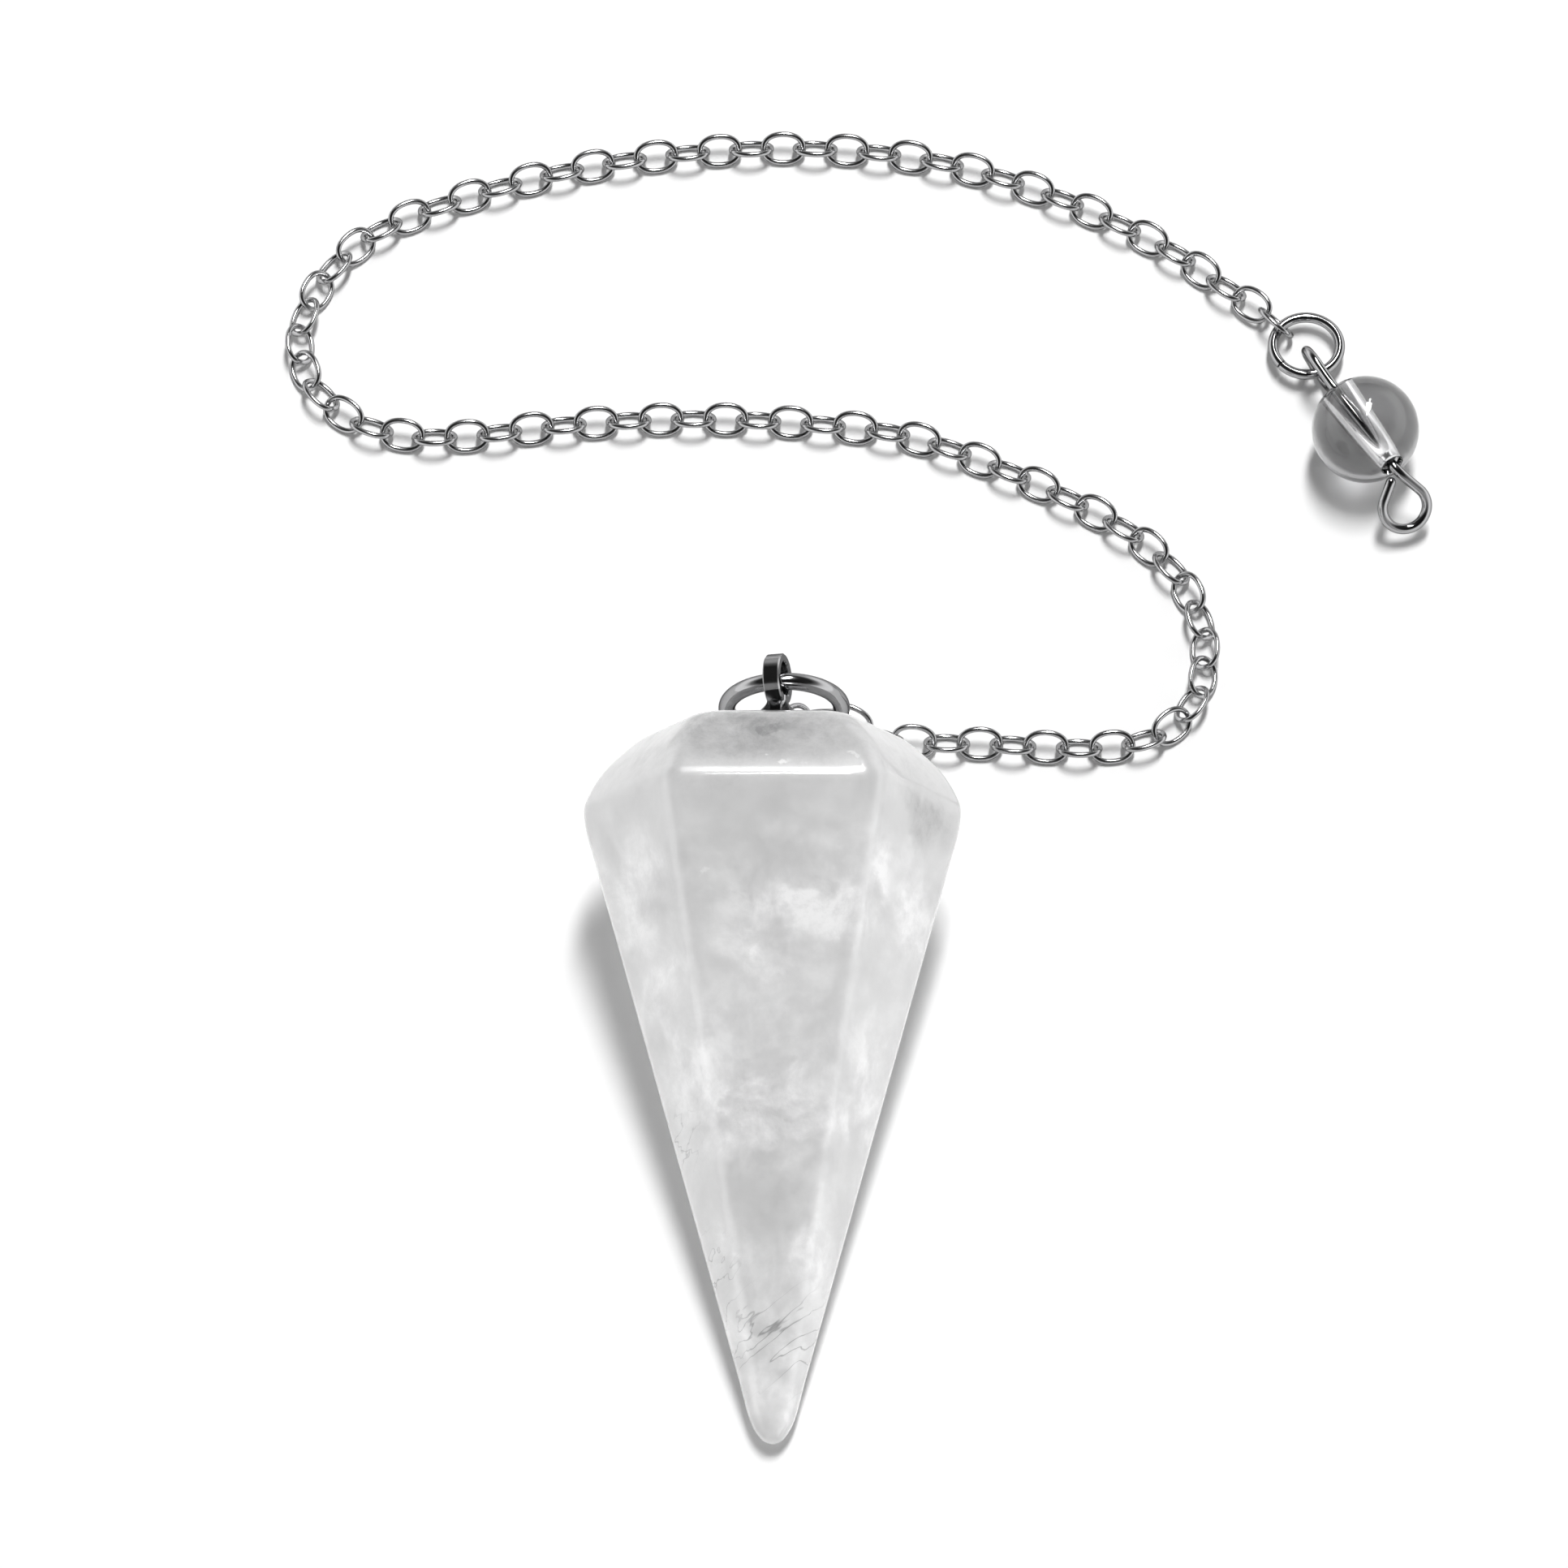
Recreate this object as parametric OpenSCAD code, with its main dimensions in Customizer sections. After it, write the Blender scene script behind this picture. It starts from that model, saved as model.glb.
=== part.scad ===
// Pendulum pendant: a six-sided quartz point in a steel cap with an eye, a jump ring, a cable chain,
// a small jump ring and a drilled round bead on an eye pin.
// It lies on the plane z = 0 as on a table: the point toward -Y on one of its facets, the chain behind it.
// Sizes are in millimetres. The origin is the middle of the facet that the stone lies on.

/* [Stone] */
// Width over the two side corners at the shoulder
stone_w = 20.5; // [18:0.1:23]
// Thickness between the facet it lies on and the facet on top, at the shoulder
stone_t = 16.5; // [15:0.1:18]
// Length from the shoulder to the end of the rounded tip
point_len = 33.9; // [28:0.1:40]
// Height of the dome between the shoulder and the flat top
dome_h = 4.45; // [3.5:0.05:6]
// Half width of the point where its rounded nose starts
nose_r = 2; // [1.5:0.1:2.6]
// Length of the rounded nose
nose_len = 3.6; // [2.5:0.1:5]
// Radius that the polishing leaves along the edges
edge_r = 0.5; // [0.25:0.05:0.75]
// Length of the rounding on the point's side of the shoulder
shoulder_len = 1.2; // [0.6:0.1:2]
// Diameter of the hole drilled for the peg
hole_d = 1.6; // [1.5:0.1:2.4]
// Depth of the hole drilled for the peg
hole_depth = 4.2; // [4.1:0.1:6]

/* [Cap and eye] */
// Diameter of the cap where it sits on the stone
cap_d = 4.4; // [3.6:0.1:6]
// Height of the flared cap
cap_h = 1.6; // [1.3:0.1:2.4]
// Thickness of the cap's rim
cap_rim = 0.25; // [0.15:0.05:0.5]
// Diameter of the cap's neck under the eye
neck_d = 1.1; // [0.9:0.1:1.6]
// Outer diameter of the eye
eye_d = 2.76; // [2.7:0.02:3.4]
// Thickness of the strip that the eye is bent from
eye_strip_t = 0.45; // [0.3:0.05:0.45]
// Width of the strip that the eye is bent from
eye_strip_w = 0.9; // [0.7:0.05:1.1]
// Turn of the eye about the stone's axis
eye_turn = -16; // [-20:1:-8]
// Sideways shift of the hole, the cap and the eye from the stone's middle
bail_off = 0.26; // [0:0.02:0.5]
// Diameter of the peg that is glued into the stone
peg_d = 1.3; // [0.8:0.1:1.4]
// Length of the peg
peg_len = 4; // [2:0.1:4]

/* [Pendant ring] */
// Outer diameter of the large jump ring
ring_d = 7.05; // [6.4:0.05:7.3]
// Wire of the large jump ring
ring_wire = 0.92; // [0.7:0.02:0.94]
// Sideways shift of the ring's middle from the eye
ring_off = 0.36; // [0.2:0.02:0.6]
// How far its wire lies below the middle of the eye
ring_drop = 0.22; // [0:0.01:0.26]
// Opening left at the ring's cut
ring_cut = 0.08; // [0.04:0.01:0.2]

/* [Chain] */
// Outer length of a link
link_len = 2.55; // [2.4:0.01:2.8]
// Outer width of a link
link_w = 1.9; // [1.85:0.05:2.1]
// Wire of the links
link_wire = 0.3; // [0.24:0.01:0.32]
// Clearance between two links where they hold each other
link_gap = 0.16; // [0.14:0.01:0.2]
// Angle that each link leans from flat, to alternate sides
link_lean = 36; // [30:1:44]

/* [End ring] */
// Outer diameter of the small jump ring
end_ring_d = 4.28; // [4:0.05:5]
// Wire of the small jump ring
end_ring_wire = 0.57; // [0.45:0.01:0.6]
// Middle of the small ring to the right of the origin
end_ring_x = 29.6; // [28:0.1:31]
// Middle of the small ring behind the origin
end_ring_y = 46.3; // [45:0.1:48]

/* [Bead and eye pin] */
// Diameter of the round bead
bead_d = 5.9; // [5.4:0.1:6.6]
// Diameter of the hole through the bead
bead_hole_d = 1.2; // [1:0.1:1.6]
// Wire of the eye pin
pin_wire = 0.57; // [0.45:0.01:0.62]
// Radius of the pin's round loops, along the middle of the wire
loop_r = 1.25; // [1.2:0.05:1.4]
// Distance from the bead's middle to the middle of the loop that holds the ring
near_reach = 5.3; // [5.1:0.05:5.6]
// Distance from the bead's middle to the middle of the free loop
far_reach = 5.35; // [5.2:0.05:5.8]
// How far the loop that holds the ring is bent off the pin's line
near_off = 0.62; // [0.4:0.02:0.8]
// How far the free loop is bent off the pin's line
far_off = 0.66; // [0.5:0.02:0.9]
// Angle by which the free loop is bent down from the pin's line, towards the table
free_bend = 52; // [44:1:56]
// Free length of straight wire between the bead and each loop
pin_neck = 0.28; // [0.2:0.02:0.5]
// Compass direction of the pin, from the free loop to the ring
pin_heading = 118.7; // [110:0.1:130]
// Turn of the loops about the pin's own line
pin_roll = -14.5; // [-20:0.5:-8]

/* [Hidden] */
$fn = 32;

// Small distances that hold for every piece
floor_gap = 0.02;
wire_gap = 0.13;
seat_gap = 0.05;

// Stone: the taper's lines meet at a sharp apex past the rounded nose
side_half = stone_w / 2;
top_half = stone_t / 2;
taper_len = (point_len - nose_len) / (1 - nose_r / side_half);
lie_angle = atan2(top_half, taper_len);
facet_len = norm([taper_len, top_half]);
facet_mid = facet_len * (1 + nose_r / side_half) / 2;
shoulder_mid = [0, taper_len * cos(lie_angle) - facet_mid, taper_len * sin(lie_angle)];

// Dome from its flat top down: share of the dome's height, share of the shoulder's width
DOME_ROWS = [
    [1.00, 0.44],
    [0.985, 0.53],
    [0.94, 0.62],
    [0.86, 0.70],
    [0.72, 0.775],
    [0.52, 0.865],
    [0.33, 0.925],
    [0.15, 0.965],
    [0.00, 0.983],
];
// Nose from where it starts to the tip: share of its length, share of its half width, roundness
NOSE_ROWS = [
    [0.00, 1.00, 0.35],
    [0.30, 0.85, 0.55],
    [0.55, 0.72, 0.75],
    [0.75, 0.57, 0.9],
    [0.90, 0.38, 1],
    [0.97, 0.22, 1],
    [1.00, 0.06, 1],
];
// Steps of the rounding on each edge of a section
edge_steps = 4;
// Largest rounding of the nose's sections as a share of a full circle
nose_round = 0.98;
// Share of its half width under which the nose's rounding shrinks with it
nose_fade = 0.5;

// Rows of the whole stone: height along its axis, share of the shoulder's width, edge radius
function dome_sections() = [for (r = DOME_ROWS) [r[0] * dome_h, r[1], edge_r]];
function body_section() = [[-shoulder_len, 1 - shoulder_len / taper_len, edge_r]];
function nose_sections() = [for (r = NOSE_ROWS) [
    nose_len - point_len - r[0] * nose_len,
    r[1] * nose_r / side_half,
    max(edge_r, r[2] * nose_round * r[1] * nose_r * top_half / side_half) * min(1, r[1] / nose_fade),
]];

// Corner of a section, where the facets that face a and b meet, both moved in by e
function facet_at(angle, share) = (angle % 180 == 90 ? top_half : side_half * cos(30)) * share;
function corner(a, b, share, e) =
    let (p = facet_at(a, share) - e, q = facet_at(b, share) - e)
    [p * sin(b) - q * sin(a), q * cos(a) - p * cos(b)] / sin(b - a);

// Outline of one section: six facets joined by small arcs
function section(height, share, e) = [
    for (k = [0:5])
        let (a = 30 + 60 * k, b = a + 60, c = corner(a, b, share, e))
        for (i = [0:edge_steps])
            let (t = a + 60 * i / edge_steps)
            [c[0] + e * cos(t), c[1] + e * sin(t), height]
];

// Solid through sections that all have the same number of points, from the top down
module loft(sections) {
    m = len(sections[0]);
    n = len(sections);
    top = [for (j = [m - 1:-1:0]) j];
    bottom = [for (j = [0:m - 1]) (n - 1) * m + j];
    sides = [
        for (i = [0:n - 2])
            for (j = [0:m - 1])
                let (a = i * m + j, b = i * m + (j + 1) % m, c = a + m, d = b + m)
                each [[a, b, d], [a, d, c]]
    ];
    polyhedron(points = [for (s = sections) each s], faces = concat([top], sides, [bottom]));
}

// Puts a child that stands on the stone's axis, tip down, where the stone lies
module on_stone() {
    translate(shoulder_mid) rotate([lie_angle - 90, 0, 0]) children();
}

module crystal() {
    rows = concat(dome_sections(), body_section(), nose_sections());
    color("gainsboro")
        on_stone()
            difference() {
                loft([for (r = rows) section(r[0], r[1], r[2])]);
                translate([bail_off, 0, dome_h - hole_depth]) cylinder(d = hole_d, h = hole_depth + dome_h);
            }
}

// Cap, eye and peg
cap_base = dome_h + seat_gap;
eye_r = eye_d / 2;
eye_hole_r = eye_r - eye_strip_t;
eye_z = cap_base + cap_h + eye_r - eye_strip_t / 2;
cap_steps = 8;
// Power that draws the cap's flank in from its rim to its neck
cap_flare = 1.7;

function cap_profile() = concat(
    [[0, 0], [cap_d / 2, 0]],
    [for (i = [0:cap_steps])
        let (s = i / cap_steps)
        [neck_d / 2 + (cap_d - neck_d) / 2 * pow(1 - s, cap_flare), cap_rim + (cap_h - cap_rim) * s]],
    [[neck_d / 2, cap_h + eye_strip_t / 2], [0, cap_h + eye_strip_t / 2]]
);

module bail() {
    color("silver")
        on_stone()
            translate([bail_off, 0, 0]) rotate([0, 0, eye_turn]) {
                translate([0, 0, cap_base - peg_len]) cylinder(d = peg_d, h = peg_len);
                translate([0, 0, cap_base]) rotate_extrude() polygon(cap_profile());
                translate([0, 0, eye_z])
                    rotate([0, 90, 0])
                        difference() {
                            cylinder(r = eye_r, h = eye_strip_w, center = true);
                            cylinder(r = eye_hole_r, h = 2 * eye_strip_w, center = true);
                        }
            }
}

// Large jump ring: hangs upright through the eye, across the stone's axis
ring_r = (ring_d - ring_wire) / 2;
eye_mid = shoulder_mid + [bail_off, eye_z * cos(lie_angle), eye_z * sin(lie_angle)];
ring_mid = eye_mid + [ring_off, 0, -ring_drop - sqrt(ring_r * ring_r - ring_off * ring_off)];
// Place of the cut round the ring, from its right-hand side
ring_cut_at = -4;

// Open ring of round wire in the XY plane, with its cut at an angle
module jump_ring(r, wire, cut, cut_at) {
    half = cut / r * 90 / PI;
    rotate([0, 0, cut_at + half])
        rotate_extrude(angle = 360 - 2 * half)
            translate([r, 0]) circle(d = wire);
}

module pendant_ring() {
    color("silver")
        translate(ring_mid) rotate([90, 0, 0]) jump_ring(ring_r, ring_wire, ring_cut, ring_cut_at);
}

// Chain: links of two half rings and two straight sides, laid along a smooth route
link_half = (link_len - link_wire) / 2;
link_side = (link_w - link_wire) / 2;
link_pitch = link_len - 2 * link_wire - link_gap;
// Half length of the straight sides
straight_half = link_half - link_side;
// The first and the last links are rolled to stand steeper than the others, by a share that fades along the chain
steep_spread = 18;
steep_roll = 22;
first_steep = 1;
first_steep_links = 5;
first_steep_hold = 2;
last_steep = 0.6;
last_steep_links = 2;
last_lean = link_lean + last_steep * (steep_spread + steep_roll);
// Height of a lying link's middle, and of the last one's
link_z = floor_gap + link_side * sin(link_lean) + link_wire / 2;
last_z = floor_gap + link_side * sin(last_lean) + link_wire / 2;
// Distance between the middle of the first and last links and the wires of their rings
hook_off = 0.12;
end_hook_off = 0.4;

// Small jump ring: lies on the last link's wire and on the pin's loop
end_ring_r = (end_ring_d - end_ring_wire) / 2;
// Places round the ring where the chain and the pin hold it, and where it is cut
chain_at = 138;
pin_at = -72;
end_ring_cut = 0.08;
end_ring_cut_at = 221;
// Heights of its wire at those two places
end_z_chain = last_z;
end_z_pin = floor_gap + pin_wire + wire_gap + end_ring_wire / 2;
end_up = (pin_at + chain_at - 180) / 2;
end_spread = cos((pin_at - chain_at + 180) / 2);
end_tilt = asin((end_z_pin - end_z_chain) / (2 * end_ring_r * end_spread));
end_ring_mid = [end_ring_x, end_ring_y, (end_z_pin + end_z_chain) / 2];

module end_ring_frame() {
    translate(end_ring_mid) rotate([0, 0, end_up]) rotate([0, -end_tilt, 0]) rotate([0, 0, -end_up]) children();
}

// Middle of the small ring's wire at an angle round it
function end_ring_point(angle) =
    let (
        f = angle - end_up,
        x = end_ring_r * cos(f) * cos(end_tilt),
        y = end_ring_r * sin(f)
    )
    end_ring_mid + [
        x * cos(end_up) - y * sin(end_up),
        x * sin(end_up) + y * cos(end_up),
        end_ring_r * cos(f) * sin(end_tilt),
    ];

module end_ring() {
    color("silver")
        end_ring_frame() jump_ring(end_ring_r, end_ring_wire, end_ring_cut, end_ring_cut_at);
}

// Route of the chain on the table, from the stone's end to the small ring: right, back, height over a lying link
ROUTE = [
    [1.9, 22.8, 1.1],
    [3.45, 23.1, 0.5],
    [5.0, 22.3, 0.32],
    [6.75, 21.8, 0.15],
    [8.6, 21.65, 0],
    [12.0, 21.6, 0],
    [15.8, 21.35, 0],
    [19.2, 21.5, 0],
    [21.7, 22.6, 0],
    [23.2, 24.8, 0],
    [23.6, 27.5, 0],
    [22.7, 31.1, 0],
    [20.4, 34.0, 0],
    [16.9, 36.4, 0],
    [12.1, 38.9, 0],
    [7.2, 40.8, 0],
    [0.9, 41.6, 0],
    [-5.4, 41.8, 0],
    [-11.7, 41.4, 0],
    [-17.0, 40.7, 0],
    [-20.5, 40.75, 0],
    [-23.7, 42.0, 0],
    [-25.85, 44.5, 0],
    [-26.35, 46.9, 0],
    [-25.5, 49.95, 0],
    [-22.9, 53.3, 0],
    [-18.7, 55.5, 0],
    [-11.9, 57.7, 0],
    [-4.9, 58.95, 0],
    [2.3, 59.25, 0],
    [9.3, 58.4, 0],
    [16.1, 56.0, 0],
    [22.4, 52.5, 0],
    [25.3, 50.1, 0],
];
// Directions of the first link as it leaves the large ring, and of the last link as it meets the small one
first_dir = [0.22, 0.8, -0.56];
last_heading = -47;
last_dir = [cos(last_heading), sin(last_heading), 0];

// Where the first and the last link hold their rings
ring_low = ring_mid - [0, 0, ring_r];
first_hook = link_pitch / 2 - hook_off;
last_hook = link_pitch / 2 - end_hook_off;
first_end = ring_low - first_hook * first_dir / norm(first_dir);
last_low = end_ring_point(chain_at);
last_end = [last_low[0], last_low[1], last_z] + last_hook * last_dir;

knots = concat(
    [first_end, first_end + link_pitch * first_dir / norm(first_dir)],
    [for (p = ROUTE) [p[0], p[1], link_z + p[2]]],
    [last_end - link_pitch * last_dir, last_end]
);

// Running sums of a list
function sums(v, i = 0, s = 0) = i == len(v) ? [s] : concat([s], sums(v, i + 1, s + v[i]));
function spans(p) = [for (i = [1:len(p) - 1]) norm(p[i] - p[i - 1])];

knot_at = sums(spans(knots));
last_knot = len(knots) - 1;

// Slope of the route at a knot, from its neighbours
function slope(i) =
    let (a = max(i - 1, 0), b = min(i + 1, last_knot))
    (knots[b] - knots[a]) / (knot_at[b] - knot_at[a]);

// Cubic curve between two knots
function between(i, t) =
    let (h = knot_at[i + 1] - knot_at[i])
    (2 * t * t * t - 3 * t * t + 1) * knots[i]
    + (t * t * t - 2 * t * t + t) * h * slope(i)
    + (3 * t * t - 2 * t * t * t) * knots[i + 1]
    + (t * t * t - t * t) * h * slope(i + 1);

knot_steps = 8;
track = concat([for (i = [0:last_knot - 1]) for (k = [0:knot_steps - 1]) between(i, k / knot_steps)], [last_end]);
track_at = sums(spans(track));
track_len = track_at[len(track) - 1];
track_x = [for (i = [0:len(track) - 1]) [track_at[i], track[i][0]]];
track_y = [for (i = [0:len(track) - 1]) [track_at[i], track[i][1]]];
track_z = [for (i = [0:len(track) - 1]) [track_at[i], track[i][2]]];
function on_track(s) = [lookup(s, track_x), lookup(s, track_y), lookup(s, track_z)];

link_count = round(track_len / link_pitch);
link_step = track_len / link_count;

function side_of(i) = i % 2 == 0 ? -1 : 1;
function steep(i) = max(
    first_steep * min(1, first_steep_hold * max(0, 1 - i / first_steep_links)),
    last_steep * max(0, 1 - (link_count - 1 - i) / last_steep_links)
);
// Turn of a link about its length
function link_turn(i) = side_of(i) * (link_lean + steep_spread * steep(i)) - steep_roll * steep(i);

// One link in the XY plane, its length along X
module link() {
    for (turn = [0, 180])
        rotate([0, 0, turn]) {
            translate([straight_half, 0, 0])
                rotate([0, 0, -90])
                    rotate_extrude(angle = 180)
                        translate([link_side, 0]) circle(d = link_wire);
            translate([0, link_side, 0])
                rotate([0, 90, 0]) cylinder(d = link_wire, h = 2 * straight_half, center = true);
        }
}

module chain() {
    color("silver")
        for (i = [0:link_count - 1]) {
            a = on_track(i * link_step);
            b = on_track((i + 1) * link_step);
            d = b - a;
            translate((a + b) / 2)
                rotate([0, -atan2(d[2], norm([d[0], d[1]])), atan2(d[1], d[0])])
                    rotate([link_turn(i), 0, 0])
                        link();
        }
}

// Bead and eye pin: the near loop stands on the table round the small ring's wire, the bead rests beside it
bead_r = bead_d / 2;
// How far the loop's middle lies outside the small ring's wire
loop_slack = 0.12;
ring_hold = end_ring_point(pin_at);
near_mid = [ring_hold[0], ring_hold[1], floor_gap + pin_wire / 2 + loop_r]
    + loop_slack * [cos(pin_at), sin(pin_at), 0];
loop_rise = near_off * cos(pin_roll);
pin_tilt = asin((bead_r + floor_gap - near_mid[2]) / norm([near_reach, loop_rise])) - atan2(loop_rise, near_reach);
pin_dir = [cos(pin_heading) * cos(pin_tilt), sin(pin_heading) * cos(pin_tilt), -sin(pin_tilt)];
// Direction in the near loop's plane that points up from the pin's line
lift_x = cos(pin_roll) * sin(pin_tilt);
lift_y = -sin(pin_roll);
lift_dir = [
    lift_x * cos(pin_heading) - lift_y * sin(pin_heading),
    lift_x * sin(pin_heading) + lift_y * cos(pin_heading),
    cos(pin_roll) * cos(pin_tilt),
];
bead_mid = near_mid - near_reach * pin_dir + near_off * lift_dir;
shaft_half = bead_r + pin_neck;
// Wire left open at the end of each loop
loop_open = 0.8;
// The wires meet in balls a little thicker than they are, and end just inside them
joint_d = 1.04 * pin_wire;
joint_in = 0.03;
// Turn of the balls' poles off the wires
joint_turn = 15;

module on_pin() {
    translate(bead_mid) rotate([pin_roll, pin_tilt, pin_heading]) children();
}

// Straight wire in the XY plane from a point, at an angle, ending in the balls that join it to the next wires
module straight_wire(from, angle, length) {
    translate(from) rotate([0, 90, angle]) translate([0, 0, joint_in]) cylinder(d = pin_wire, h = length - 2 * joint_in);
}

module joint(at, angle) {
    translate(at) rotate([0, 90, angle + joint_turn]) sphere(d = joint_d);
}

// Teardrop loop in the XY plane, bent from a shaft that comes along X and ends at the origin
module wire_loop(mid) {
    c = norm(mid);
    head = atan2(mid[1], mid[0]);
    half = asin(loop_r / c);
    leg = c * cos(half);
    out = head + half;
    back = head - half;
    arc_in = joint_in / loop_r * 180 / PI;
    joint([0, 0, 0], out / 2);
    straight_wire([0, 0, 0], out, leg);
    joint(leg * [cos(out), sin(out), 0], out);
    translate([mid[0], mid[1], 0])
        rotate([0, 0, back - 90 + arc_in])
            rotate_extrude(angle = 180 + 2 * half - 2 * arc_in)
                translate([loop_r, 0]) circle(d = pin_wire);
    joint(leg * [cos(back), sin(back), 0], back);
    straight_wire(loop_open * [cos(back), sin(back), 0], back, leg - loop_open);
}

module eye_pin() {
    color("silver")
        on_pin() {
            straight_wire([-shaft_half, 0, 0], 0, 2 * shaft_half);
            translate([shaft_half, 0, 0]) rotate([90, 0, 0]) wire_loop([near_reach - shaft_half, -near_off]);
            translate([-shaft_half, 0, 0]) rotate([0, free_bend, 180]) wire_loop([far_reach - shaft_half, -far_off]);
        }
}

module bead() {
    color("whitesmoke")
        on_pin()
            rotate([0, 90, 0])
                rotate_extrude($fn = 64)
                    difference() {
                        circle(d = bead_d);
                        translate([-bead_d, -bead_d]) square([bead_d + bead_hole_d / 2, 2 * bead_d]);
                    }
}

crystal();
bail();
pendant_ring();
chain();
end_ring();
eye_pin();
bead();
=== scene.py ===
import math

import bmesh
import bpy
import numpy as np
from mathutils import Matrix, Vector


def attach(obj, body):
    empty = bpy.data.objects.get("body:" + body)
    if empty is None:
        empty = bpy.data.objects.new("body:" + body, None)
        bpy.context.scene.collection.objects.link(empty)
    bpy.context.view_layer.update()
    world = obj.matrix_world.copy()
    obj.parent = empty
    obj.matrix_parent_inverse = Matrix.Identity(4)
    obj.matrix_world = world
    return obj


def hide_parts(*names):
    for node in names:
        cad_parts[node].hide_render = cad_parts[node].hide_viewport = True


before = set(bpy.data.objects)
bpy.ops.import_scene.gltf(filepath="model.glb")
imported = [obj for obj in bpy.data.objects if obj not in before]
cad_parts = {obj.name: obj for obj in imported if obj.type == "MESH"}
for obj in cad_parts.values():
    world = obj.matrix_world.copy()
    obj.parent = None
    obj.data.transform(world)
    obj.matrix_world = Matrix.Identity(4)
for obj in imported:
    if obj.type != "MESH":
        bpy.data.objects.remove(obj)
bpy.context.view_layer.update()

scene = bpy.context.scene
MM = 0.001
# Points nearer to each other than this are merged when a mesh is closed
WELD = 1e-4

# Stone, as in the part's source: over its side corners, over its facets, shoulder to tip, shoulder to top
STONE_W = 20.5
STONE_T = 16.5
POINT_LEN = 33.9
DOME_H = 4.45
# Rounded nose of the point: half width where it starts, and length
NOSE_R = 2.0
NOSE_LEN = 3.6
# The polished edges look rounder than in the solid, and the side facets stand out to keep its outline
EDGE_R = 1.5
SIDE_OUT = 0.155
# How far the dome's curve runs on past the shoulder, and the room left before and after the taper's rows
SHOULDER_LEN = 2.4
ROW_GAP = 0.6
# Largest rounding of a section as a share of a full circle, and the share of the nose's half width under
# which its rounding shrinks with it
ROUND_LIMIT = 0.98
NOSE_FADE = 0.5
# How far the tip's end point stands out from the last section
TIP_STEP = 0.01
# Points round a section, and the share of them that lie on the rounded corners
AROUND = 96
CORNER_SHARE = 0.5
# Blind hole for the peg, with a softened edge at its mouth
HOLE_R = 0.8
HOLE_DEPTH = 4.2
MOUTH_OUT = 0.1
MOUTH_DOWN = 0.15

# Cap, eye and peg, as in the part's source, with the widths of their worn edges
CAP_D = 4.4
CAP_H = 1.6
CAP_RIM = 0.25
CAP_FLARE = 1.7
CAP_EDGE = 0.08
NECK_D = 1.1
EYE_D = 2.76
EYE_TURN = -16
STRIP_T = 0.45
STRIP_W = 0.9
STRIP_EDGE = 0.07
PEG_D = 1.3
PEG_LEN = 4.0
PEG_EDGE = 0.1
SEAT_GAP = 0.05
# How far the hole, the cap and the eye sit off the stone's axis
BAIL_OFF = 0.26

# Jump rings: radius to the middle of the wire, wire, and the angle of the cut round the ring
RING_R = 3.065
RING_WIRE = 0.92
RING_CUT_AT = -4
END_RING_R = 1.855
END_RING_WIRE = 0.57
END_RING_CUT_AT = 221
# Opening of a cut, and how far its ends are out of line as a share of the wire
CUT = 0.08
CUT_OFF_LINE = 0.06

# Chain links: half length and half width to the middle of the wire, wire, and how oval the bend is
LINK_HALF = 1.125
LINK_SIDE = 0.8
LINK_WIRE = 0.3
LINK_BEND = 0.9

# Bead, its drilled hole, and how far the hole's ground edge reaches out and in
BEAD_R = 2.95
BEAD_HOLE_R = 0.6
GROUND_OUT = 0.08
GROUND_IN = 0.14
# Eye pin: wire, loops, straight wire beside the bead, and each loop's distance along and off the pin's line
PIN_WIRE = 0.57
LOOP_R = 1.25
LOOP_OPEN = 0.75
PIN_NECK = 0.28
NEAR_REACH = 5.3
NEAR_OFF = 0.62
FAR_REACH = 5.35
FAR_OFF = 0.66
# The free loop is bent down towards the table, the pin lies along a heading and is rolled about its own line
FREE_BEND = 52
PIN_HEADING = 118.7
PIN_ROLL = -14.5
# Stretches of wire inside and outside the bead's ends that the pliers leave round, and passes that round them
ROUND_INSIDE = 1.2
ROUND_OUTSIDE = 0.6
ROUND_PASSES = 6

# Dome from its flat top down: share of its height, share of the shoulder's width
DOME_ROWS = [
    (1.0, 0.44),
    (0.985, 0.53),
    (0.94, 0.62),
    (0.86, 0.70),
    (0.72, 0.775),
    (0.52, 0.865),
    (0.33, 0.925),
    (0.15, 0.965),
    (0.0, 0.983),
]
# Nose from where it starts to the tip: share of its length, share of its half width, roundness
NOSE_ROWS = [
    (0.0, 1.0, 0.35),
    (0.30, 0.85, 0.55),
    (0.55, 0.72, 0.75),
    (0.75, 0.57, 0.9),
    (0.90, 0.38, 1.0),
    (0.97, 0.22, 1.0),
    (1.0, 0.06, 1.0),
]

# The stone stands tip down in its own frame and is laid on one facet by this turn
side_half = STONE_W / 2
top_half = STONE_T / 2
taper_len = (POINT_LEN - NOSE_LEN) / (1 - NOSE_R / side_half)
lie_angle = math.atan2(top_half, taper_len)
facet_mid = math.hypot(taper_len, top_half) * (1 + NOSE_R / side_half) / 2
shoulder_mid = Vector((0, taper_len * math.cos(lie_angle) - facet_mid, taper_len * math.sin(lie_angle)))
ON_STONE = Matrix.Translation(shoulder_mid) @ Matrix.Rotation(lie_angle - math.pi / 2, 4, "X")


def middle_and_axes(points):
    """Middle of the box round some points, and their axes as columns, from the thinnest to the longest."""
    axes = np.linalg.eigh(np.cov((points - points.mean(0)).T))[1]
    return Vector((points.min(0) + points.max(0)) / 2), axes


def packed(node):
    """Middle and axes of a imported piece, in millimetres."""
    return middle_and_axes(np.array([v.co[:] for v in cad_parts[node].data.vertices]) / MM)


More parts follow.
